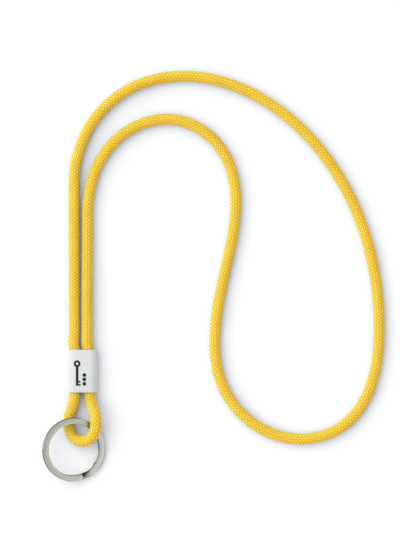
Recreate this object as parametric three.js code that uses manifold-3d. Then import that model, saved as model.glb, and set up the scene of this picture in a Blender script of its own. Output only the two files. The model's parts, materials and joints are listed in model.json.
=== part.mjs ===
// A neck lanyard: a braided cord loop gathered by a flattened metal sleeve, with a small lower loop
// that carries a flat-wire split ring. It is drawn lying on a table, in millimetres.
// Frame: +Z up from the table, +Y from the sleeve towards the neck loop, origin under the sleeve's middle.
import * as THREE from "three";
import Module from "manifold-3d";
import { mergeVertices } from "three/addons/utils/BufferGeometryUtils.js";

// ---- Driving dimensions ----
const CORD_RADIUS = 2.95;
const PINCHED_RADIUS = 2.85; // the cord where the sleeve squeezes it
const BRAID_WALL = 0.5;
const PLY_RADIUS = 0.9;
const PLY_ORBIT = 1.2; // from the cord's centre line to the centre of each core ply
const PLY_COUNT = 3;
const PLY_PITCH = 70; // length of cord in which the plies make one turn

const SLEEVE = { width: 14.8, depth: 7.4, length: 21.4, wall: 0.5, rim: 0.2 };
const STRAND_SPREAD = 3.75; // each strand's distance from the sleeve's centre plane
const UPPER_RIGHT_STRAND = 2.3; // the right strand enters nearer the middle
const NECK_FEET = { left: -4.2, right: 2.15 }; // where the neck loop's strands leave the sleeve
const LOWER_LOOP_FEET = { left: -4.05, right: 3.95 };
const BUTT_GAP = 0.2; // half the gap between the two sealed cord ends
const SEAL_THICKNESS = 0.8;
const CLEARANCE = 0.3;

const RING = { outerRadius: 16.0, width: 3.0, thickness: 1.1, turnGap: 0.1, chamfer: 0.25 };
const RING_CENTRE = new THREE.Vector3(-4.4, -39.3, 5.9);
const RING_TILT = 17; // degrees, leaning over the left leg of the lower loop
const RING_TILT_AXIS = 73; // degrees from +X towards +Y
const LOWER_END_ANGLE = 322; // where the wire starts, on the lower turn
const CROSSOVER_ANGLES = [649, 666]; // where the wire climbs from the lower turn to the upper one
const UPPER_END_ANGLE = 1009; // where the wire stops, on the upper turn

// How finely each piece is drawn: stations along a sweep, and points on each arc of a section
const NECK_STEPS = 88;
const LOWER_LOOP_STEPS = 30;
const THROUGH_STRAND_STEPS = 4;
const CUT_END_STEPS = 2;
const SEAL_STEPS = 1;
const RING_STEPS = 132;
const JACKET_ARC = 5;
const PLY_ARC = 3;
const SEAL_ARC = 6;
const SLEEVE_ARC = 10;

// ---- Derived places ----
const CORD_HEIGHT = CORD_RADIUS; // centre of a cord lying on the table
const SLEEVE_HEIGHT = SLEEVE.depth / 2;
const MOUTH = SLEEVE.length / 2;
const FOLD = MOUTH + CORD_RADIUS + CLEARANCE; // the cord folds about a line this far from the middle
const FULL_TURN = 2 * Math.PI;

// ---- Directions ----
const [UP, DOWN, LEFT, RIGHT] = [[0, 1, 0], [0, -1, 0], [-1, 0, 0], [1, 0, 0]];
const OUT_OF_TABLE = new THREE.Vector3(0, 0, 1);

// ---- Materials ----
function material(color, roughness, metalness) {
  return new THREE.MeshStandardMaterial({ color, roughness, metalness });
}
const braid = material(0xe7ca3f, 0.75, 0);
const coreYarn = material(0xeae5d7, 0.9, 0);
const fusedEnd = material(0xb37c19, 0.45, 0);
const whiteCoat = material(0xc7c7c7, 0.45, 0.1);
const nickel = material(0xd0cdc0, 0.25, 1);

// ---- Curves ----
// A smooth chain of cubic curves through nodes. Each node has a place, a heading, and how far its
// handles reach back and forward along that heading.
function smoothChain(nodes) {
  const chain = new THREE.CurvePath();
  for (let i = 0; i + 1 < nodes.length; i++) {
    const [a, b] = [nodes[i], nodes[i + 1]];
    const start = new THREE.Vector3(...a.at);
    const end = new THREE.Vector3(...b.at);
    const leave = new THREE.Vector3(...a.heading).normalize().multiplyScalar(a.reach.at(-1));
    const arrive = new THREE.Vector3(...b.heading).normalize().multiplyScalar(b.reach[0]);
    chain.add(new THREE.CubicBezierCurve3(start, start.clone().add(leave), end.clone().sub(arrive), end));
  }
  return chain;
}

// A line that follows a centre line, turning round it at a fixed distance. With no distance it is the
// centre line itself. All of them share one set of stations, so that nested pieces stay clear.
class FollowingPath extends THREE.Curve {
  constructor(centreLine, orbit = 0, startAngle = 0) {
    super();
    Object.assign(this, { centreLine, orbit, startAngle, length: centreLine.getLength() });
  }

  getPoint(t) {
    const point = this.centreLine.getPointAt(t);
    const forward = this.centreLine.getTangentAt(t);
    const side = new THREE.Vector3().crossVectors(forward, OUT_OF_TABLE).normalize();
    const over = new THREE.Vector3().crossVectors(side, forward);
    const turn = this.startAngle + (FULL_TURN * t * this.length) / PLY_PITCH;
    return point
      .addScaledVector(side, this.orbit * Math.cos(turn))
      .addScaledVector(over, this.orbit * Math.sin(turn));
  }

  getUtoTmapping(u) {
    return u;
  }
}

// The split ring's wire: a lower turn, a short climb, and an upper turn, about +Z.
class CoilPath extends THREE.Curve {
  angleAt(t) {
    return THREE.MathUtils.lerp(LOWER_END_ANGLE, UPPER_END_ANGLE, t);
  }

  getPoint(t) {
    const angle = this.angleAt(t);
    const radius = RING.outerRadius - RING.width / 2;
    const climb = THREE.MathUtils.smoothstep(angle, ...CROSSOVER_ANGLES) - 0.5;
    const turn = THREE.MathUtils.degToRad(angle);
    return new THREE.Vector3(
      radius * Math.cos(turn),
      radius * Math.sin(turn),
      climb * (RING.thickness + RING.turnGap),
    );
  }

  getUtoTmapping(u) {
    return u;
  }

  // The wire's section stays square to the ring's axis, also where it climbs.
  computeFrenetFrames(segments) {
    const frames = { tangents: [], normals: [], binormals: [] };
    for (let i = 0; i <= segments; i++) {
      const turn = THREE.MathUtils.degToRad(this.angleAt(i / segments));
      frames.tangents.push(new THREE.Vector3(-Math.sin(turn), Math.cos(turn), 0));
      frames.normals.push(new THREE.Vector3(Math.cos(turn), Math.sin(turn), 0));
      frames.binormals.push(new THREE.Vector3(0, 0, -1));
    }
    return frames;
  }
}

// ---- Shapes ----
function disc(radius) {
  return new THREE.Shape().absarc(0, 0, radius, 0, FULL_TURN);
}

function annulus(outer, inner) {
  const shape = disc(outer);
  shape.holes.push(new THREE.Path().absarc(0, 0, inner, 0, FULL_TURN));
  return shape;
}

// A flat-sided oval, as a round tube has once it is pressed between two plates.
function pressedOval(width, depth) {
  const radius = depth / 2;
  const centre = width / 2 - radius;
  return new THREE.Shape()
    .absarc(centre, 0, radius, -Math.PI / 2, Math.PI / 2)
    .absarc(-centre, 0, radius, Math.PI / 2, (3 * Math.PI) / 2)
    .closePath();
}

function chamferedRectangle(width, height, chamfer) {
  const [x, y] = [width / 2, height / 2];
  const [innerX, innerY] = [x - chamfer, y - chamfer];
  const corners = [[innerX, -y], [x, -innerY], [x, innerY], [innerX, y]];
  const opposite = corners.map(([cx, cy]) => [-cx, -cy]);
  return new THREE.Shape([...corners, ...opposite].map(([cx, cy]) => new THREE.Vector2(cx, cy)));
}

function sweep(shape, extrudePath, steps, curveSegments) {
  return new THREE.ExtrudeGeometry(shape, { steps, extrudePath, curveSegments, bevelEnabled: false });
}

// ---- Booleans ----
const wasm = await Module();
wasm.setup();

function toSolid(geometry) {
  const bare = new THREE.BufferGeometry().setAttribute("position", geometry.getAttribute("position"));
  if (geometry.index) bare.setIndex(geometry.index);
  const merged = mergeVertices(bare, 1e-4);
  return new wasm.Manifold(
    new wasm.Mesh({
      numProp: 3,
      vertProperties: merged.attributes.position.array,
      triVerts: new Uint32Array(merged.index.array),
    }),
  );
}

function toGeometry(solid) {
  const { vertProperties, triVerts } = solid.getMesh();
  return new THREE.BufferGeometry()
    .setAttribute("position", new THREE.BufferAttribute(vertProperties, 3))
    .setIndex(new THREE.BufferAttribute(triVerts, 1));
}

// ---- Assembly ----
const lanyard = new THREE.Group();

function addMesh(name, geometry, finish, parent = lanyard) {
  const mesh = new THREE.Mesh(geometry, finish);
  mesh.name = name;
  parent.add(mesh);
  return mesh;
}

// A length of cord: an open braided tube round three turning core plies.
function addCord(name, centreLine, steps, outerRadius) {
  const wall = annulus(outerRadius, outerRadius - BRAID_WALL);
  addMesh(`${name}_jacket`, sweep(wall, new FollowingPath(centreLine), steps, JACKET_ARC), braid);
  for (let i = 0; i < PLY_COUNT; i++) {
    const ply = new FollowingPath(centreLine, PLY_ORBIT, (FULL_TURN * i) / PLY_COUNT);
    addMesh(`${name}_core_ply_${i + 1}`, sweep(disc(PLY_RADIUS), ply, steps, PLY_ARC), coreYarn);
  }
}

// The pressed metal tube that grips both strands, with a softened rim at each mouth.
function addSleeve() {
  const outer = new THREE.ExtrudeGeometry(pressedOval(SLEEVE.width, SLEEVE.depth), {
    curveSegments: SLEEVE_ARC,
    depth: SLEEVE.length - 2 * SLEEVE.rim,
    bevelThickness: SLEEVE.rim,
    bevelSize: SLEEVE.rim,
    bevelOffset: -SLEEVE.rim,
    bevelSegments: 2,
  });
  const bore = new THREE.ExtrudeGeometry(
    pressedOval(SLEEVE.width - 2 * SLEEVE.wall, SLEEVE.depth - 2 * SLEEVE.wall),
    { curveSegments: SLEEVE_ARC, depth: 2 * SLEEVE.length, bevelEnabled: false },
  );
  outer.translate(0, 0, SLEEVE.rim - MOUTH);
  bore.translate(0, 0, -SLEEVE.length);
  const sleeve = toGeometry(toSolid(outer).subtract(toSolid(bore)));
  const mesh = addMesh("crimp_sleeve", sleeve, whiteCoat);
  mesh.rotation.x = -Math.PI / 2;
  mesh.position.z = SLEEVE_HEIGHT;
}

// The strands inside the sleeve: one runs through, and on the right the two cut ends meet.
function addGrippedStrands() {
  const at = (x, y) => new THREE.Vector3(x, y, SLEEVE_HEIGHT);
  const upperRight = at(UPPER_RIGHT_STRAND, MOUTH);
  const lowerRight = at(STRAND_SPREAD, -MOUTH);
  const onRight = (y) => upperRight.clone().lerp(lowerRight, (MOUTH - y) / SLEEVE.length);
  const sealEnd = BUTT_GAP + SEAL_THICKNESS;
  const cutEnd = sealEnd + CLEARANCE;

  const throughLine = new THREE.LineCurve3(at(-STRAND_SPREAD, MOUTH), at(-STRAND_SPREAD, -MOUTH));
  addCord("through_strand", throughLine, THROUGH_STRAND_STEPS, PINCHED_RADIUS);
  for (const [side, mouthEnd, way] of [["upper", upperRight, 1], ["lower", lowerRight, -1]]) {
    const cordLine = new THREE.LineCurve3(mouthEnd, onRight(way * cutEnd));
    const sealLine = new THREE.LineCurve3(onRight(way * sealEnd), onRight(way * BUTT_GAP));
    addCord(`${side}_cord_end`, cordLine, CUT_END_STEPS, PINCHED_RADIUS);
    addMesh(`${side}_end_seal`, sweep(disc(PINCHED_RADIUS), sealLine, SEAL_STEPS, SEAL_ARC), fusedEnd);
  }
}

// The long loop: up the left strand, over the top, down the far side, and back by the S-bend and the
// inner hump to the right strand.
function addNeckCord() {
  const z = CORD_HEIGHT;
  const centreLine = smoothChain([
    { at: [NECK_FEET.left, FOLD, SLEEVE_HEIGHT], heading: UP, reach: [36] },
    { at: [-4.3, 93.9, z], heading: UP, reach: [12, 25.6] },
    { at: [50.7, 147.6, z], heading: RIGHT, reach: [36.5, 45] },
    { at: [148.4, 21.3, z], heading: DOWN, reach: [78, 46] },
    { at: [108.6, -34.1, z], heading: LEFT, reach: [16.5, 17] },
    { at: [66.1, 13.5, z], heading: UP, reach: [33.1, 25.9] },
    { at: [76.7, 84.2, z], heading: UP, reach: [21.6, 31.8] },
    { at: [42, 126.1, z], heading: LEFT, reach: [13.1, 17.2] },
    { at: [2.4, 77.9, z], heading: DOWN, reach: [33.9, 12] },
    { at: [NECK_FEET.right, FOLD, SLEEVE_HEIGHT], heading: DOWN, reach: [33.7] },
  ]);
  addCord("neck_cord", centreLine, NECK_STEPS, CORD_RADIUS);
}

// The small loop under the sleeve: its left leg lies on the table under the ring, and its right leg
// climbs over the ring.
function addLowerLoop() {
  const centreLine = smoothChain([
    { at: [LOWER_LOOP_FEET.left, -FOLD, SLEEVE_HEIGHT], heading: [-0.2, -1, 0], reach: [6] },
    { at: [-7, -26.4, CORD_HEIGHT], heading: DOWN, reach: [5.3, 6.4] },
    { at: [-0.7, -35.1, 5.7], heading: [1, 0, 0.5], reach: [2.6, 5] },
    { at: [6.8, -25.1, 8.7], heading: UP, reach: [7.3, 4] },
    { at: [LOWER_LOOP_FEET.right, -FOLD, SLEEVE_HEIGHT], heading: [-0.2, 1, -0.15], reach: [4.7] },
  ]);
  addCord("lower_loop", centreLine, LOWER_LOOP_STEPS, CORD_RADIUS);
}

// The ring leans on the left leg, so it is built flat and then tilted about a level line.
function addSplitRing() {
  const section = chamferedRectangle(RING.width, RING.thickness, RING.chamfer);
  const leaning = new THREE.Group();
  const axisAngle = THREE.MathUtils.degToRad(RING_TILT_AXIS);
  const levelLine = new THREE.Vector3(Math.cos(axisAngle), Math.sin(axisAngle), 0);
  leaning.position.copy(RING_CENTRE);
  leaning.quaternion.setFromAxisAngle(levelLine, THREE.MathUtils.degToRad(RING_TILT));
  addMesh("split_ring", sweep(section, new CoilPath(), RING_STEPS, 1), nickel, leaning);
  lanyard.add(leaning);
}

addSleeve();
addGrippedStrands();
addNeckCord();
addLowerLoop();
addSplitRing();

export default lanyard;
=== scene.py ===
"""Looks for the lanyard: a braided cord loop, a pressed white sleeve and a nickel split ring.

Everything is in metres, in the CAD frame: +Z up from the table, +Y from the sleeve towards the neck loop.
The cord's course, the sleeve's size and the ring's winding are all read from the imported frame.
"""

import json
import math

import bpy
import numpy as np
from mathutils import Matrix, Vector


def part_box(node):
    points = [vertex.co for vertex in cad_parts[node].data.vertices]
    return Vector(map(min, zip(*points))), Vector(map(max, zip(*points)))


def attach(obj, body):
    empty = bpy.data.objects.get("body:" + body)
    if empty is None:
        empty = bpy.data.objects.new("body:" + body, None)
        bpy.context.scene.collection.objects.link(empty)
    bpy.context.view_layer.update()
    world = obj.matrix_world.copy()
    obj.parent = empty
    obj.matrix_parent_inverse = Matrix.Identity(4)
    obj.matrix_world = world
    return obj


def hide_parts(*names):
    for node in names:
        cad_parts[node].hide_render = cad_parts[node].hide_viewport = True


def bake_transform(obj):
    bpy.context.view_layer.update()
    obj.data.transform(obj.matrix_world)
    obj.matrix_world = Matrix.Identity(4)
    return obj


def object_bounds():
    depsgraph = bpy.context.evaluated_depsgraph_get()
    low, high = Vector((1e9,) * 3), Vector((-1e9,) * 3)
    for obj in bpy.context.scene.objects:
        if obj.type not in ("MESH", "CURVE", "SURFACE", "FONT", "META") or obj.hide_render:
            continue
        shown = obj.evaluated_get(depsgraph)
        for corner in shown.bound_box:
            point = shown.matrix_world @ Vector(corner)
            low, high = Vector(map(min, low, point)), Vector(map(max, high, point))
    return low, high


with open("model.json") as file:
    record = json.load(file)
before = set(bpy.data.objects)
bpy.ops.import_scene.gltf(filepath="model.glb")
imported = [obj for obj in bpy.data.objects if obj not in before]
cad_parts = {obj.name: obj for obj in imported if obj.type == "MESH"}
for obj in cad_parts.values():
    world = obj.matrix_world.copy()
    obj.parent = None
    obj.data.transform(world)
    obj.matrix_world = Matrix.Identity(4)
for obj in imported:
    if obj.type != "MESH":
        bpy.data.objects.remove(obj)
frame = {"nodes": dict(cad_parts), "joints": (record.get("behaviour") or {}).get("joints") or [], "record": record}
cad_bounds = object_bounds()

MM = 0.001
FULL_TURN = 2 * math.pi
UP = np.array([0.0, 0.0, 1.0])

# ---- Sizes read from the frame ----
joints = {joint["name"]: joint for joint in frame["joints"]}
mounts = {mount["name"]: mount for mount in frame["record"]["mounts"]}
SLEEVE_LOW, SLEEVE_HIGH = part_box("crimp_sleeve")
STRAND_LOW, STRAND_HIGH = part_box("through_strand_jacket")
MOUTH = SLEEVE_HIGH.y
UPPER_FOLD = joints["neck_fold"]["pos_m"]
LOWER_FOLD = joints["lower_loop_fold"]["pos_m"]
CORD_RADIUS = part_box("neck_cord_jacket")[1].z - UPPER_FOLD[2]
PINCHED_RADIUS = (STRAND_HIGH.z - STRAND_LOW.z) / 2
LEFT_STRAND_X = (STRAND_LOW.x + STRAND_HIGH.x) / 2
UPPER_RIGHT_X = sum(corner.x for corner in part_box("upper_cord_end_jacket")) / 2
LOWER_RIGHT_X = sum(corner.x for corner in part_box("lower_cord_end_jacket")) / 2

# ---- The braid ----
# It is drawn coarser than the real braid, so that the weave still shows in a small picture.
CARRIERS = 24  # strands in the braid, half of them turning each way
ROW = 1.8 * MM  # length of cord from one strand to the next
STRAND_RELIEF = 0.3 * MM  # how far a strand's crown stands above the grooves
BRAID_WALL = 0.55 * MM
FINENESS = 6  # mesh faces across one strand
ROWS_PER_LINING_STATION = 24  # the plain lining needs far fewer stations than the braid
CORD_SHARP_ANGLE = math.radians(50)
NECK_PIECES = 6
BEND_LENGTH = 13 * MM  # length of cord that takes up a fold at the sleeve's mouth
FOOT_END = MOUTH + BEND_LENGTH + 1 * MM

# ---- The core ----
PLY_COUNT = 3
PLY_RADIUS = 0.95 * MM
PLY_ORBIT = 1.2 * MM
PLY_PITCH = 70 * MM
PLY_STATION_SPACING = 2 * MM

# ---- The sleeve and the ring ----
SLEEVE_WALL = 0.5 * MM
SLEEVE_RIM = 0.2 * MM
RING_TURN_GAP = 0.16 * MM
RING_EDGE = 0.3 * MM
RING_THINNING = 0.2  # a wire bent edgeways is this share thinner at its outer edge
GLINT_TOWARDS = math.radians(163)  # the side towards which the wire's sheared sides carry a painted reflection of the key light
GLINT_HALF_WIDTH, GLINT_FADE = 11, 5  # degrees either way that carry that painted reflection, and over which it fades into painted shade
# How dark the painted shade and painted dark reflection on the sheared sides go
SIDE_SHADE_DARKNESS = 0.7
WIRE_STATIONS = 600
WIRE_SHARP_ANGLE = math.radians(40)
PRINT_THICKNESS = 0.03 * MM


# ======== Mesh helpers ========
def make_object(name, points, face_groups, material, sharp_angle=None, yarn_uv=None):
    """A smooth mesh object. Each face group is an array with one row of point numbers for each face."""
    face_groups = [np.asarray(group, np.int32) for group in face_groups]
    sides = np.concatenate([np.full(len(group), group.shape[1], np.int32) for group in face_groups])
    corners = np.concatenate([group.ravel() for group in face_groups])
    mesh = bpy.data.meshes.new(name)
    mesh.vertices.add(len(points))
    mesh.vertices.foreach_set("co", np.asarray(points, np.float32).ravel())
    mesh.loops.add(len(corners))
    mesh.loops.foreach_set("vertex_index", corners)
    mesh.polygons.add(len(sides))
    mesh.polygons.foreach_set("loop_start", np.concatenate([[0], np.cumsum(sides)[:-1]]).astype(np.int32))
    mesh.polygons.foreach_set("use_smooth", np.full(len(sides), True))
    mesh.update(calc_edges=True)
    if sharp_angle is not None:
        mesh.set_sharp_from_angle(angle=sharp_angle)
    if yarn_uv is not None:
        layer = mesh.uv_layers.new(name="Yarn")
        padded = np.zeros((len(corners), 2), np.float32)
        padded[: len(yarn_uv)] = yarn_uv
        layer.uv.foreach_set("vector", padded.ravel())
    mesh.materials.append(material)
    thing = bpy.data.objects.new(name, mesh)
    bpy.context.scene.collection.objects.link(thing)
    return thing


def add_point_values(thing, name, values):
    """Stores one number, or one vector, on each point of an object, for its material to read."""
    values = np.asarray(values, np.float32)
    kind, field = ("FLOAT", "value") if values.ndim == 1 else ("FLOAT_VECTOR", "vector")
    thing.data.attributes.new(name, kind, "POINT").data.foreach_set(field, values.ravel())


def normalized(vectors):
    return vectors / np.linalg.norm(vectors, axis=-1, keepdims=True)


def smoothstep(value):
    value = np.clip(value, 0, 1)
    return value * value * (3 - 2 * value)


def grid_faces(rows, columns, rows_close=False):
    """Quads of a grid of points whose rows close on themselves, and whose last row may join the first."""
    row = np.arange(rows if rows_close else rows - 1)[:, None]
    column = np.arange(columns)[None, :]
    after = (row + 1) % rows * columns
    beside = (column + 1) % columns
    here = row * columns
    quads = np.stack([here + column, here + beside, after + beside, after + column], -1)
    return quads.reshape(-1, 4)


def rounded_rectangle(width, height, radius, arc_steps=5, side_steps=(1, 1)):
    """Points round a rectangle with rounded corners, anticlockwise, with side_steps faces on each side."""
    points = []
    for quarter in range(4):
        angle = quarter * math.pi / 2
        across = (width, height)[quarter % 2] / 2 - radius
        along = (height, width)[quarter % 2] / 2 - radius
        steps = side_steps[(quarter + 1) % 2]
        turn = np.array([[math.cos(angle), -math.sin(angle)], [math.sin(angle), math.cos(angle)]])
        side = [(across + radius, y) for y in np.linspace(-along, along, steps, endpoint=False)]
        corner = [
            (across + radius * math.cos(a), along + radius * math.sin(a))
            for a in np.linspace(0, math.pi / 2, arc_steps, endpoint=False)
        ]
        points.extend(np.array(side + corner) @ turn.T)
    return np.array(points)


# ======== Reading the frame ========
def welded(node):
    """A CAD node's distinct corner points, and the pairs of them that share an edge."""
    mesh = frame["nodes"][node].data
    points = np.empty(len(mesh.vertices) * 3)
    mesh.vertices.foreach_get("co", points)
    edges = np.empty(len(mesh.edges) * 2, int)
    mesh.edges.foreach_get("vertices", edges)
    micron = 0.001 * MM
    grid = np.round(points.reshape(-1, 3) / micron).astype(int)
    distinct, number = np.unique(grid, axis=0, return_inverse=True)
    return distinct * micron, number.ravel()[edges.reshape(-1, 2)]


def cad_centre_line(node, end_y):
    """The centres of a swept CAD cord's stations, in order from its left end, which lies at end_y."""
    points, edges = welded(node)
    neighbours = [set() for _ in points]
    for a, b in edges:
        neighbours[a].add(b)
        neighbours[b].add(a)
    cord_width = 2.05 * CORD_RADIUS  # with a little over, for rounding
    at_end = np.flatnonzero(np.abs(points[:, 1] - end_y) < CORD_RADIUS / 3)
    from_left = points[at_end, 0] - points[at_end, 0].min()
    station = set(at_end[from_left < cord_width])
    seen = set(station)
    centres = []
    while station:
        centres.append(points[list(station)].mean(0))
        station = {other for point in station for other in neighbours[point]} - seen
        seen |= station
    return np.array(centres)


# ======== The cord's course ========
class Course:
    """A smooth line through points, measured by the length along it."""

    def __init__(self, points, samples_between=24):
        points = np.asarray(points, float)
        knots = np.concatenate([[0], np.cumsum(np.linalg.norm(np.diff(points, axis=0), axis=1))])
        slope = np.gradient(points, knots, axis=0)
        spans = [np.linspace(a, b, samples_between, endpoint=False) for a, b in zip(knots, knots[1:])]
        fine = np.concatenate([*spans, knots[-1:]])
        span = np.clip(np.searchsorted(knots, fine, side="right") - 1, 0, len(knots) - 2)
        width = (knots[span + 1] - knots[span])[:, None]
        t = (fine - knots[span])[:, None] / width
        self.points = (
            (2 * t**3 - 3 * t**2 + 1) * points[span]
            + (t**3 - 2 * t**2 + t) * width * slope[span]
            + (3 * t**2 - 2 * t**3) * points[span + 1]
            + (t**3 - t**2) * width * slope[span + 1]
        )
        steps = np.linalg.norm(np.diff(self.points, axis=0), axis=1)
        self.at = np.concatenate([[0], np.cumsum(steps)])
        self.heading = normalized(np.gradient(self.points, self.at, axis=0))
        self.length = self.at[-1]

    def _pick(self, values, length):
        return np.stack([np.interp(length, self.at, values[:, i]) for i in range(3)], -1)

    def frame_at(self, length):
        """The point at each length along the course, and the directions sideways and upwards from it."""
        heading = normalized(self._pick(self.heading, length))
        side = normalized(np.cross(heading, UP))
        return self._pick(self.points, length), side, np.cross(side, heading)

    def radius_at(self, length):
        """The cord's radius, which is a little less inside the sleeve."""
        x, y, _ = self._pick(self.points, length).T
        inside_mouth, fade = 0.3 * CORD_RADIUS, 1.2 * CORD_RADIUS  # where the squeeze starts to let go
        freed = smoothstep((np.abs(y) - MOUTH + inside_mouth) / fade)
        freed = np.where(np.abs(x) > SLEEVE_HIGH.x, 1, freed)
        return PINCHED_RADIUS + (CORD_RADIUS - PINCHED_RADIUS) * freed

    def crossings(self, y):
        """The lengths at which the course crosses the line at y."""
        side = np.sign(self.points[:, 1] - y)
        return self.at[1:][side[1:] != side[:-1]]


def lay_course():
    """The whole cord, from its upper cut end by the neck loop, sleeve and lower loop to its lower one."""
    neck = cad_centre_line("neck_cord_jacket", UPPER_FOLD[1])[::-1]
    lower = cad_centre_line("lower_loop_jacket", LOWER_FOLD[1])
    height = UPPER_FOLD[2]

    cut_gap = 0.2 * MM
    upper_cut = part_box("upper_end_seal")[1].y + cut_gap
    lower_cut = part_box("lower_end_seal")[0].y - cut_gap
    inside = 0.9 * MOUTH  # the strands are straight this far either way from the sleeve's middle
    upper_end = [(UPPER_RIGHT_X, y, height) for y in np.linspace(upper_cut, inside, 5)]
    through = [(LEFT_STRAND_X, y, height) for y in np.linspace(inside, -inside, 9)]
    lower_end = [(LOWER_RIGHT_X, y, height) for y in np.linspace(-inside, lower_cut, 5)]
    return Course([*upper_end, *neck, *through, *lower, *lower_end])


# ======== The braided jacket ========
# The braid is drawn on a lattice whose two directions, u and v, run across the strands that turn right
# and the strands that turn left. Each strand passes over two others and then under two.
def braid_relief(u, v):
    """How far each lattice point stands up from the grooves, from 0 to 1, on the strand that is on top."""
    cell_u, cell_v = u // FINENESS, v // FINENESS
    part_u, part_v = (u % FINENESS) / FINENESS, (v % FINENESS) / FINENESS
    step = (cell_v - cell_u) % 4
    right_on_top = step < 2
    across = np.where(right_on_top, part_u, part_v) * 2 - 1
    along = np.where(right_on_top, part_v - (step == 0), part_u - (step == 3))
    return np.sqrt(1 - across**2) * np.sqrt(1 - along**2)


def yarn_places(u, v):
    """For each lattice face, its corners' places along the strand on top, in metres, and across it."""
    cell_u, cell_v = u // FINENESS, v // FINENESS
    right_on_top = ((cell_v - cell_u) % 4 < 2)[:, None]
    crossing_length = math.hypot(ROW / 2, FULL_TURN * CORD_RADIUS / CARRIERS)
    corner_u = u[:, None] + np.array([0, 1, 1, 0])
    corner_v = v[:, None] + np.array([0, 0, 1, 1])
    strand = np.where(right_on_top, cell_u[:, None], cell_v[:, None] + CARRIERS // 2) % CARRIERS
    first = np.where(right_on_top, cell_u[:, None], cell_v[:, None]) * FINENESS
    along = np.where(right_on_top, corner_v, corner_u) * crossing_length / FINENESS
    across = (np.where(right_on_top, corner_u, corner_v) - first) / FINENESS + 2 * strand
    return np.stack([along, across], -1)


def braid_row(length):
    """The lattice row nearest a length along the cord."""
    return int(round(length / ROW * 2 * FINENESS))


def make_braid(name, course, first_row, last_row):
    """The jacket between two rows of the lattice: braided outside, plain inside, closed at its ends."""
    columns = FINENESS * CARRIERS // 2
    row = np.arange(first_row, last_row + 2)[:, None]
    place = 2 * np.arange(columns)[None, :] + row % 2
    relief = braid_relief((row - place) // 2, (row + place) // 2)

    def ring_points(row_numbers, places, depth):
        length = row_numbers * ROW / (2 * FINENESS)
        point, side, over = course.frame_at(length)
        turn = (places * math.pi / columns)[..., None]
        outwards = np.sin(turn) * side[:, None] - np.cos(turn) * over[:, None]
        return point[:, None] + (course.radius_at(length)[:, None] - depth)[..., None] * outwards

    outside = ring_points(row[:, 0], place, STRAND_RELIEF * (1 - relief)).reshape(-1, 3)
    quad_row = np.arange(last_row - first_row)[:, None]
    column = np.arange(columns)[None, :]
    odd = (quad_row + first_row) % 2
    before, after = (column + odd - 1) % columns, (column + odd) % columns
    braided = np.stack(
        [
            quad_row * columns + column,
            (quad_row + 1) * columns + before,
            (quad_row + 2) * columns + column,
            (quad_row + 1) * columns + after,
        ],
        -1,
    ).reshape(-1, 4)[:, ::-1]
    first_corner_u = ((row - place) // 2)[:-2].ravel()
    first_corner_v = ((row + place) // 2)[:-2].ravel()

    lining_stations = max(2, (last_row - first_row) // ROWS_PER_LINING_STATION)
    inner_row = np.linspace(first_row + 1, last_row, lining_stations)
    inner_place = 2 * np.arange(columns)[None, :] + np.zeros((len(inner_row), 1))
    inside = ring_points(inner_row, inner_place, np.full(inner_place.shape, BRAID_WALL)).reshape(-1, 3)
    lining = grid_faces(len(inner_row), columns)[:, ::-1] + len(outside)
    ends = end_faces(columns, first_row, 0, len(outside), False)
    last_start = (last_row - first_row) * columns
    ends += end_faces(columns, last_row, last_start, len(outside) + len(inside) - columns, True)

    yarn = yarn_places(first_corner_u, first_corner_v)[:, [3, 2, 1, 0]].reshape(-1, 2)
    points = np.concatenate([outside, inside])
    piece = make_object(name, points, [braided, lining, ends], braid_finish, CORD_SHARP_ANGLE, yarn)
    add_point_values(piece, "crown", np.concatenate([relief.ravel(), np.zeros(len(inside))]))
    return piece


def end_faces(columns, row, outer_start, inner_start, facing_forward):
    """Triangles that join the zigzag edge of the braid's last two rows to the lining's edge."""
    faces = []
    for column in range(columns):
        beside = (column + 1) % columns
        if row % 2 == 0:
            low, high, next_low = column, columns + column, beside
        else:
            low, high, next_low = columns + column, column, columns + beside
        low, high, next_low = low + outer_start, high + outer_start, next_low + outer_start
        inner, next_inner = inner_start + column, inner_start + beside
        faces += [[low, high, inner], [high, next_inner, inner], [high, next_low, next_inner]]
    return [face[::-1] for face in faces] if facing_forward else faces


# ======== The core ========
def make_core(name, course, start, end):
    """The filler yarn between two lengths along the cord: plies that turn round each other."""
    round_points, fewest_stations = 10, 8
    stations = max(fewest_stations, int((end - start) / PLY_STATION_SPACING))
    length = np.linspace(start, end, stations)
    point, side, over = course.frame_at(length)
    points, faces, caps = [], [], []
    for ply in range(PLY_COUNT):
        turn = FULL_TURN * (ply / PLY_COUNT + length / PLY_PITCH)[:, None]
        centre = point + PLY_ORBIT * (np.cos(turn) * side + np.sin(turn) * over)
        angle = np.arange(round_points)[None, :, None] * FULL_TURN / round_points
        outwards = np.cos(angle) * side[:, None] + np.sin(angle) * over[:, None]
        first = len(length) * round_points * ply
        points.append((centre[:, None] + PLY_RADIUS * outwards).reshape(-1, 3))
        faces.append(grid_faces(len(length), round_points) + first)
        caps.append(np.arange(round_points)[::-1] + first)
        caps.append(np.arange(round_points) + first + (len(length) - 1) * round_points)
    face_groups = [np.concatenate(faces), caps]
    return make_object(name, np.concatenate(points), face_groups, core_finish, CORD_SHARP_ANGLE)


# ======== The sleeve and its print ========
def pressed_oval(width, depth, arc_steps=24, flat_steps=8):
    """Points round a flat-sided oval, anticlockwise, and the outward direction at each."""
    radius, centre = depth / 2, (width - depth) / 2
    points, outwards = [], []
    for side in (1, -1):
        for angle in np.linspace(-math.pi / 2, math.pi / 2, arc_steps, endpoint=False):
            direction = side * np.array([math.cos(angle), math.sin(angle)])
            points.append([side * centre, 0] + radius * direction)
            outwards.append(direction)
        for x in np.linspace(side * centre, -side * centre, flat_steps, endpoint=False):
            points.append([x, side * radius])
            outwards.append([0, side])
    return np.array(points), np.array(outwards)


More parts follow.
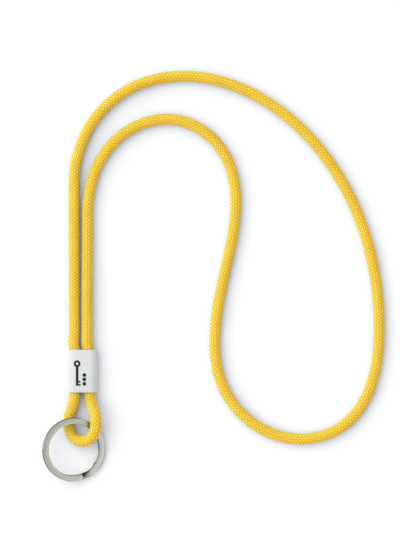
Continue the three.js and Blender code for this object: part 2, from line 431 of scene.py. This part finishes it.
def make_sleeve():
    """The pressed tube: its wall's section, a rounded strip, is carried round the oval."""
    size = SLEEVE_HIGH - SLEEVE_LOW
    middle_z = (SLEEVE_HIGH.z + SLEEVE_LOW.z) / 2
    oval, outwards = pressed_oval(size.x - SLEEVE_WALL, size.z - SLEEVE_WALL)
    wall = rounded_rectangle(SLEEVE_WALL, size.y, SLEEVE_RIM, arc_steps=4, side_steps=(14, 1))
    across = oval[:, None] + wall[None, :, :1] * outwards[:, None]
    along = np.broadcast_to(wall[None, :, 1:], across[..., :1].shape)
    points = np.concatenate([across[..., :1], along, across[..., 1:] + middle_z], -1)
    faces = grid_faces(len(oval), len(wall), rows_close=True)
    sleeve = make_object("sleeve", points.reshape(-1, 3), [faces], coat_finish)
    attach(sleeve, "sleeve")
    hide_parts("crimp_sleeve")


def arc_points(centre_y, radius, start, end, steps):
    """Points on an arc about (0, centre_y), with angles in degrees from +X."""
    angles = np.radians(np.linspace(start, end, steps))
    return [(radius * math.cos(a), centre_y + radius * math.sin(a)) for a in angles]


def make_print():
    """A plain key and three dots, printed on the sleeve's face where such sleeves carry a mark."""
    bow_radius, bow_hole, shaft = 1.7 * MM, 0.65 * MM, 0.65 * MM
    key_x, key_top, key_end = -2.6 * MM, 5.4 * MM, -7.3 * MM
    bow_y = key_top - bow_radius
    tooth_depth, tooth_width = 1.7 * MM, 0.8 * MM
    shaft_angle = math.degrees(math.asin(shaft / bow_radius))
    key = arc_points(bow_y, bow_radius, -90 + shaft_angle, 270 - shaft_angle, 40)
    key += [(-shaft, key_end), (tooth_depth, key_end)]
    key += [(tooth_depth, key_end + tooth_width), (shaft, key_end + tooth_width)]
    key += [(shaft, key_end + 2 * tooth_width), (tooth_depth, key_end + 2 * tooth_width)]
    key += [(tooth_depth, key_end + 3 * tooth_width), (shaft, key_end + 3 * tooth_width)]
    hole = arc_points(bow_y, bow_hole, 360, 0, 33)[:-1]
    outlines = [[(x + key_x, y) for x, y in key], [(x + key_x, y) for x, y in hole]]
    dot_x, dot_radius, dot_spacing = 1.0 * MM, 0.95 * MM, 2.2 * MM
    for dot in range(3):
        dot_y = key_end + dot_radius + dot * dot_spacing
        outlines.append([(x + dot_x, y) for x, y in arc_points(dot_y, dot_radius, 0, 360, 25)[:-1]])

    curve = bpy.data.curves.new("print_outline", "CURVE")
    curve.dimensions, curve.fill_mode, curve.extrude = "2D", "BOTH", PRINT_THICKNESS / 2
    for outline in outlines:
        spline = curve.splines.new("POLY")
        spline.points.add(len(outline) - 1)
        for point, (x, y) in zip(spline.points, outline):
            point.co = (x, y, 0, 1)
        spline.use_cyclic_u = True
    flat = bpy.data.objects.new("print_outline", curve)
    mesh = bpy.data.meshes.new_from_object(flat)
    bpy.data.objects.remove(flat)
    mesh.materials.clear()
    mesh.materials.append(ink_finish)
    ink = bpy.data.objects.new("sleeve_print", mesh)
    ink.location.z = SLEEVE_HIGH.z + PRINT_THICKNESS / 2
    bpy.context.scene.collection.objects.link(ink)
    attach(ink, "sleeve")


# ======== The split ring ========
def widest_gap(angles):
    """The widest gap in a set of angles, as the angles at which it starts and ends, in radians."""
    angles = np.unique(np.round(angles % FULL_TURN, 5))
    following = np.append(angles[1:], angles[0] + FULL_TURN)
    widest = np.argmax(following - angles)
    return angles[widest], following[widest]


def wire_painted_shade(turn, section, width, past_step):
    """How dark each point of the wire is painted, from 0 to 1: painted shade and painted dark reflection on the
    sheared sides that face away from the key light, and painted shade in the notch.
    """
    corner_share = 0.4  # this much of each rounded corner counts as part of the upright side
    side = np.abs(section[:, 0]) > width / 2 - corner_share * RING_EDGE
    # Painted reflection: the sides that face the key light stay bright, and the rest get painted shade.
    facing = np.where(section[:, 0] > 0, 0, math.pi)[None, :] + turn[:, None]
    off_glint_side = np.degrees(np.arccos(np.cos(facing - GLINT_TOWARDS)))
    off_glint = smoothstep((off_glint_side - GLINT_HALF_WIDTH) / GLINT_FADE)
    sheared = SIDE_SHADE_DARKNESS * side[None, :] * off_glint
    # The painted shade in the notch behind the climb is a wedge, as wide as the wire at first, that narrows to its
    # inner edge.
    notch_shade_start, fade_along, fade_outwards = 3.2, 2.45, 3.0
    outerness = section[:, 0] / width + 0.5
    notch = notch_shade_start - fade_along * past_step[:, None] - fade_outwards * outerness[None, :]
    shade_in_notch = (past_step > 0)[:, None] * notch
    return np.clip(np.maximum(sheared, shade_in_notch), 0, 1).ravel()


def make_split_ring():
    """One flat wire: a lower turn, a short climb and an upper turn, wound as the CAD ring is."""
    corners = welded("split_ring")[0]
    axis = normalized(np.array(mounts["ring_upper_face"]["axis"], float))
    level = normalized(np.array([1.0, 0, 0]) - axis[0] * axis)
    basis = np.stack([level, np.cross(axis, level), axis])
    local = corners @ basis.T
    centre = (local.min(0) + local.max(0)) / 2
    local -= centre
    reach = np.hypot(local[:, 0], local[:, 1])
    height = local[:, 2].max()
    angle = np.arctan2(local[:, 1], local[:, 0])
    nearly = height - 0.02 * MM
    lower_end, lower_start = widest_gap(angle[local[:, 2] < -nearly])
    upper_end, upper_start = widest_gap(angle[local[:, 2] > nearly])

    thickness = height - RING_TURN_GAP / 2
    width = reach.max() - reach.min()
    section = rounded_rectangle(width, thickness, RING_EDGE, arc_steps=5, side_steps=(2, 1))
    outerness = section[:, 0] / width + 0.5
    section[:, 1] *= 1 - RING_THINNING * outerness
    turn = np.linspace(lower_start, upper_end + 2 * FULL_TURN, WIRE_STATIONS)
    past_step = (turn - FULL_TURN - upper_end) / (upper_start - upper_end)
    climb = smoothstep(past_step) - 0.5
    outwards = np.stack([np.cos(turn), np.sin(turn), 0 * turn], -1)
    wire_centre = (reach.max() - width / 2) * outwards
    wire_centre[:, 2] = climb * (thickness + RING_TURN_GAP)
    wire = wire_centre[:, None] + section[None, :, :1] * outwards[:, None]
    wire[..., 2] += section[None, :, 1]
    points = (wire.reshape(-1, 3) + centre) @ basis
    faces = grid_faces(len(turn), len(section))[:, ::-1]
    first_end = np.arange(len(section))
    last_end = first_end[::-1] + len(points) - len(section)
    ring = make_object("ring", points, [faces, [first_end, last_end]], nickel_finish, WIRE_SHARP_ANGLE)
    x, y, z = wire.reshape(-1, 3).T
    arc_length = np.repeat(turn * reach.max(), len(section))
    add_point_values(ring, "wire", np.stack([arc_length, np.hypot(x, y), z], -1))
    # Painted shade for the material: how dark each point of the wire is drawn.
    add_point_values(ring, "painted_wire_shade", wire_painted_shade(turn, section, width, past_step))
    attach(ring, "ring")
    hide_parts("split_ring")


# ======== Materials ========
KEY_TURN, KEY_TILT = math.radians(-25), math.radians(-45)  # the key light's turns about +Z and +Y
KEY_SIDE = (-math.cos(KEY_TURN), -math.sin(KEY_TURN), 0)  # the side it comes from
BOUNCE_TONE = (0.32, 0.32, 0.32, 1)  # light that bounces off the cord is kept neutral


class Nodes:
    """A new material's node tree, with short ways to add and join nodes."""

    def __init__(self, name):
        self.material = bpy.data.materials.new(name)
        self.material.use_nodes = True
        self.tree = self.material.node_tree
        self.surface = self.tree.nodes["Principled BSDF"]

    def add(self, kind, inputs=(), **settings):
        """A node. Each input is a value to set, or another node's output to join."""
        node = self.tree.nodes.new(kind)
        for name, value in settings.items():
            setattr(node, name, value)
        for name, value in dict(inputs).items():
            self.join(node.inputs[name], value)
        return node

    def join(self, socket, value):
        if isinstance(value, bpy.types.NodeSocket):
            self.tree.links.new(value, socket)
        else:
            socket.default_value = value

    def set(self, **inputs):
        for name, value in inputs.items():
            self.join(self.surface.inputs[name.replace("_", " ")], value)

    def math(self, operation, a, b=0.0):
        return self.add("ShaderNodeMath", {0: a, 1: b}, operation=operation).outputs[0]

    def scaled(self, vector, scale):
        return self.add("ShaderNodeMapping", {"Vector": vector, "Scale": scale}).outputs[0]

    def noise(self, vector, scale=1.0, detail=2.0, roughness=0.5):
        inputs = {"Vector": vector, "Scale": scale, "Detail": detail, "Roughness": roughness}
        return self.add("ShaderNodeTexNoise", inputs).outputs["Fac"]

    def remap(self, value, low, high, to_low, to_high):
        inputs = {"Value": value, "From Min": low, "From Max": high, "To Min": to_low, "To Max": to_high}
        return self.add("ShaderNodeMapRange", inputs).outputs[0]

    def mix(self, share, first, second, blend_type="MIX"):
        node = self.add("ShaderNodeMix", data_type="RGBA", blend_type=blend_type)
        for socket, value in zip((node.inputs[0], node.inputs[6], node.inputs[7]), (share, first, second)):
            self.join(socket, value)
        return node.outputs[2]

    def bump(self, height, distance, strength=1.0):
        inputs = {"Height": height, "Distance": distance, "Strength": strength}
        return self.add("ShaderNodeBump", inputs).outputs[0]

    def point_value(self, name, output="Fac"):
        return self.add("ShaderNodeAttribute", attribute_name=name).outputs[output]

    def place(self):
        return self.add("ShaderNodeTexCoord").outputs["Object"]

    def facing(self):
        return self.add("ShaderNodeNewGeometry").outputs["Normal"]

    def along(self, vector, axis):
        node = self.add("ShaderNodeVectorMath", {0: vector, 1: axis}, operation="DOT_PRODUCT")
        return node.outputs["Value"]

    def is_bounce(self):
        return self.add("ShaderNodeLightPath").outputs["Is Diffuse Ray"]


def braid_material():
    """Filament polyester: each strand's fine lengthwise filaments, with painted shade in the grooves where strands
    dive under. The side turned away from the key light is painted oranger, as painted shade that stands in for
    light the yarn lets through."""
    n = Nodes("braid")
    yarn = n.add("ShaderNodeUVMap", uv_map="Yarn").outputs[0]
    crown = n.point_value("crown")
    filaments = n.noise(n.scaled(yarn, (900, 16, 1)), detail=3, roughness=0.6)
    strand_tone = n.noise(n.scaled(yarn, (60, 0.6, 1)))
    worn_tone = n.noise(n.place(), scale=55)
    # Painted shade: the side turned away from the key light gets the oranger colours, and the rim that faces
    # straight away keeps the lit colours, as painted bounce light.
    facing_key = n.along(n.facing(), KEY_SIDE)
    turned_away = n.remap(facing_key, -0.35, 0.35, 1, 0)
    clear_of_painted_rim = n.remap(facing_key, -1.0, -0.6, 0, 1)
    painted_shade_warmth = n.math("MULTIPLY", turned_away, clear_of_painted_rim)
    # Lit and shaded copies of each colour; the darker groove colours are painted shade in the hollows between
    # strands.
    crown_colour = n.mix(painted_shade_warmth, (0.765, 0.61, 0.062, 1), (0.92, 0.53, 0.022, 1))
    groove_shade_colour = n.mix(painted_shade_warmth, (0.52, 0.34, 0.016, 1), (0.65, 0.29, 0.006, 1))
    colour = n.mix(n.remap(crown, 0.2, 0.75, 0, 1), groove_shade_colour, crown_colour)
    tone = n.remap(filaments, 0.3, 0.7, 0.92, 1.04)
    tone = n.math("ADD", tone, n.remap(strand_tone, 0.3, 0.7, -0.05, 0.05))
    tone = n.math("ADD", tone, n.remap(worn_tone, 0.3, 0.7, -0.03, 0.03))
    tone_colour = n.add("ShaderNodeCombineColor", {"Red": tone, "Green": tone, "Blue": tone}).outputs[0]
    toned = n.mix(1.0, colour, tone_colour, "MULTIPLY")
    n.set(Base_Color=n.mix(n.is_bounce(), toned, BOUNCE_TONE), Normal=n.bump(filaments, 0.02 * MM, 0.6))
    n.set(Roughness=n.remap(filaments, 0.3, 0.7, 0.42, 0.6), Specular_IOR_Level=0.35)
    n.set(Sheen_Weight=0.2, Sheen_Roughness=0.4, Sheen_Tint=(1.0, 0.85, 0.4, 1))
    return n.material


def core_material():
    """Undyed filler yarn."""
    n = Nodes("core_yarn")
    fibres = n.noise(n.scaled(n.place(), (3000, 900, 3000)), detail=3)
    n.set(Base_Color=n.mix(fibres, (0.72, 0.67, 0.56, 1), (0.92, 0.89, 0.80, 1)))
    n.set(Roughness=0.9, Normal=n.bump(fibres, 0.05 * MM))
    return n.material


def fused_material():
    """Polyester melted by a hot cut: glossy, with darker scorched patches."""
    n = Nodes("fused_end")
    scorch = n.noise(n.place(), scale=900, detail=3)
    n.set(Base_Color=n.mix(scorch, (0.62, 0.30, 0.02, 1), (0.28, 0.11, 0.01, 1)))
    n.set(Roughness=n.remap(scorch, 0.3, 0.7, 0.25, 0.5), Normal=n.bump(scorch, 0.08 * MM))
    return n.material


def coat_material():
    """Satin off-white powder coat: a faint orange-peel surface and very slight mottling."""
    n = Nodes("sleeve_coat")
    peel = n.noise(n.place(), scale=1400, detail=2)
    mottle = n.noise(n.place(), scale=180, detail=3)
    n.set(Base_Color=n.mix(mottle, (0.55, 0.555, 0.55, 1), (0.585, 0.59, 0.585, 1)))
    n.set(Roughness=n.remap(mottle, 0.3, 0.7, 0.36, 0.48), Normal=n.bump(peel, 0.012 * MM, 0.5))
    n.set(Coat_Weight=0.15, Coat_Roughness=0.3)
    return n.material


def ink_material():
    """Black pad-printing ink, not quite even."""
    n = Nodes("print_ink")
    film = n.noise(n.place(), scale=2500, detail=3)
    n.set(Base_Color=n.mix(film, (0.002, 0.002, 0.002, 1), (0.008, 0.008, 0.008, 1)))
    n.set(Roughness=n.remap(film, 0.3, 0.7, 0.35, 0.55))
    return n.material


def nickel_material():
    """Bright nickel plate with fine marks along the wire; the sheared sides that face away from the key light and
    the notch are painted dark, as painted shade and painted dark reflection.
    """
    n = Nodes("ring_nickel")
    wire = n.point_value("wire", "Vector")
    painted_wire_shade = n.point_value("painted_wire_shade")
    marks = n.noise(n.scaled(wire, (120, 9000, 9000)), detail=2)
    scuffs = n.noise(n.scaled(wire, (150, 400, 400)), detail=3)
    plate = n.mix(scuffs, (0.595, 0.58, 0.505, 1), (0.66, 0.645, 0.56, 1))
    # Painted shade and painted dark reflection: the shaded sides and the notch are drawn near black, with a greyed
    # reflection.
    n.set(Base_Color=n.mix(painted_wire_shade, plate, (0.03, 0.03, 0.028, 1)), Metallic=1.0)
    n.set(Specular_Tint=n.mix(painted_wire_shade, (1, 1, 1, 1), (0.3, 0.3, 0.3, 1)))
    n.set(Roughness=n.remap(scuffs, 0.3, 0.7, 0.16, 0.24), Normal=n.bump(marks, 0.006 * MM, 0.3))
    return n.material


def floor_material():
    """White studio paper."""
    n = Nodes("studio_floor")
    grain = n.noise(n.place(), scale=800, detail=3)
    n.set(Base_Color=n.mix(grain, (0.80, 0.805, 0.81, 1), (0.83, 0.835, 0.84, 1)), Roughness=0.9)
    n.set(Specular_IOR_Level=0.1)
    return n.material


braid_finish = braid_material()
core_finish = core_material()
coat_finish = coat_material()
ink_finish = ink_material()
nickel_finish = nickel_material()


# ======== The cord ========
def make_cord():
    """The cord in sections that meet edge to edge: a long one that rides on the neck loop's body, and three short
    ones that cross the sleeve's mouths and are left in place, attached to no body."""
    course = lay_course()
    right_foot_end, left_foot_start = course.crossings(FOOT_END)[[0, -1]]
    sleeve_middle = course.crossings(0)
    sleeve_middle = sleeve_middle[sleeve_middle > left_foot_start][0]
    neck_start, neck_end = braid_row(right_foot_end), braid_row(left_foot_start)
    neck_rows = np.linspace(neck_start, neck_end, NECK_PIECES + 1).astype(int)
    last_row = braid_row(course.length) - 2
    upper_bend = ("sleeve", "neck_loop", MOUTH, MOUTH + BEND_LENGTH)
    lower_bend = ("sleeve", "lower_loop", -MOUTH, -MOUTH - BEND_LENGTH)

    def finish_section(piece, bend, nodes):
        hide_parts(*nodes)
        if bend is None:
            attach(piece, "neck_loop")
            return
        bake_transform(piece)

    def plies(cord):
        return [f"{cord}_core_ply_{number + 1}" for number in range(PLY_COUNT)]

    sections = [
        ("neck_foot_right", 0, neck_rows[0], upper_bend, ["upper_cord_end"]),
        ("neck_foot_left", neck_rows[-1], braid_row(sleeve_middle), upper_bend, ["through_strand"]),
        ("lower_loop", braid_row(sleeve_middle), last_row, lower_bend, ["lower_loop", "lower_cord_end"]),
    ]
    for number, (first, last) in enumerate(zip(neck_rows, neck_rows[1:])):
        sections.append((f"neck_cord_{number + 1}", first, last, None, ["neck_cord"]))
    for name, first, last, bend, cords in sections:
        jackets = [f"{cord}_jacket" for cord in cords]
        finish_section(make_braid(f"{name}_braid", course, first, last), bend, jackets)
        start, end = (row * ROW / (2 * FINENESS) for row in (first, last))
        core = make_core(f"{name}_core", course, start, end)
        finish_section(core, bend, [node for cord in cords for node in plies(cord)])


make_cord()
make_sleeve()
make_print()
make_split_ring()
for node in ("upper_end_seal", "lower_end_seal"):
    frame["nodes"][node].data.materials.clear()
    frame["nodes"][node].data.materials.append(fused_material())


# ======== Floor, light and camera ========
def make_floor():
    """White paper on the table's plane. It drops out of the way of a loop that is folded below that plane."""
    half = 4.0
    corners = [(x, y, 0) for x, y in ((-half, -half), (half, -half), (half, half), (-half, half))]
    floor = make_object("floor", corners, [[[0, 1, 2, 3]]], floor_material())
    widest_nodes = {"neck_loop": "neck_cord_jacket", "lower_loop": "lower_loop_jacket", "ring": "split_ring"}
    for body, node in widest_nodes.items():
        low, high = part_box(node)
        for x, y in ((low.x, low.y), (high.x, low.y), (high.x, high.y), (low.x, high.y)):
            corner = bpy.data.objects.new(f"{body}_corner", None)
            corner.location = (x, y, 0)
            bpy.context.scene.collection.objects.link(corner)
            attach(corner, body)
            stay_below = floor.constraints.new("FLOOR")
            stay_below.target = corner
            stay_below.floor_location = "FLOOR_NEGATIVE_Z"


def make_world():
    """White to the camera, an almost even fill, and for reflections a studio that is dark low down."""
    world = bpy.data.worlds.new("studio")
    bpy.context.scene.world = world
    world.use_nodes = True
    tree = world.node_tree
    direction = tree.nodes.new("ShaderNodeTexCoord").outputs["Generated"]
    rays = tree.nodes.new("ShaderNodeLightPath").outputs

    def toned(axis, stops):
        """Grey tones, set by how far a direction points along an axis."""
        along = tree.nodes.new("ShaderNodeVectorMath")
        along.operation = "DOT_PRODUCT"
        along.inputs[1].default_value = axis
        ramp = tree.nodes.new("ShaderNodeValToRGB")
        for element, (position, _) in zip(ramp.color_ramp.elements, stops):
            element.position = position
        for element, (_, tone) in zip(ramp.color_ramp.elements, stops):
            element.color = (0.985 * tone, tone, 1.02 * tone, 1)
        tree.links.new(direction, along.inputs[0])
        tree.links.new(along.outputs["Value"], ramp.inputs[0])
        return ramp.outputs[0]

    def choose(chosen, otherwise, switch):
        mix = tree.nodes.new("ShaderNodeMix")
        mix.data_type = "RGBA"
        for socket, source in ((mix.inputs[0], switch), (mix.inputs[6], otherwise)):
            tree.links.new(source, socket)
        if isinstance(chosen, tuple):
            mix.inputs[7].default_value = chosen
        else:
            tree.links.new(chosen, mix.inputs[7])
        return mix.outputs[2]

    def multiplied(first, second):
        mix = tree.nodes.new("ShaderNodeMix")
        mix.data_type, mix.blend_type = "RGBA", "MULTIPLY"
        mix.inputs[0].default_value = 1
        for socket, source in ((mix.inputs[6], first), (mix.inputs[7], second)):
            tree.links.new(source, socket)
        return mix.outputs[2]

    fill = toned((0, 0, 1), ((0.0, 0.95), (0.7, 0.72)))
    overhead = toned((0.25, -0.1, 0.96), ((0.3, 0.03), (0.62, 1.0)))
    brighter_right = toned((0.95, -0.3, 0), ((0.46, 0.64), (0.66, 1.0)))
    reflected = multiplied(overhead, brighter_right)
    seen = choose((1, 1, 1, 1), choose(reflected, fill, rays["Is Glossy Ray"]), rays["Is Camera Ray"])
    tree.links.new(seen, tree.nodes["Background"].inputs[0])


def make_key_light():
    """A very broad, soft light from the upper left."""
    light = bpy.data.lights.new("key", "SUN")
    light.energy = 2.6
    light.angle = math.radians(90)
    lamp = bpy.data.objects.new("key", light)
    lamp.rotation_euler = (0, KEY_TILT, KEY_TURN)
    lamp.visible_glossy = False
    bpy.context.scene.collection.objects.link(lamp)


def make_camera():
    """Straight above, turned so that +Y is up. The margins about the object are shares of its width."""
    low, high = cad_bounds
    width = high.x - low.x
    view_width = 1.169 * width
    centre_x = low.x + 0.46 * width
    centre_y = (low.y + high.y) / 2 + 0.0085 * width
    picture_shape = 1.365  # the picture's height over its width
    camera = bpy.data.cameras.new("camera")
    camera.lens = 300
    camera.clip_end = 20
    distance = view_width * picture_shape * camera.lens / camera.sensor_width
    eye = bpy.data.objects.new("camera", camera)
    eye.location = (centre_x, centre_y, CORD_RADIUS + distance)
    bpy.context.scene.collection.objects.link(eye)
    bpy.context.scene.camera = eye


make_floor()
make_world()
make_key_light()
make_camera()
bpy.context.scene.view_settings.view_transform = "Standard"
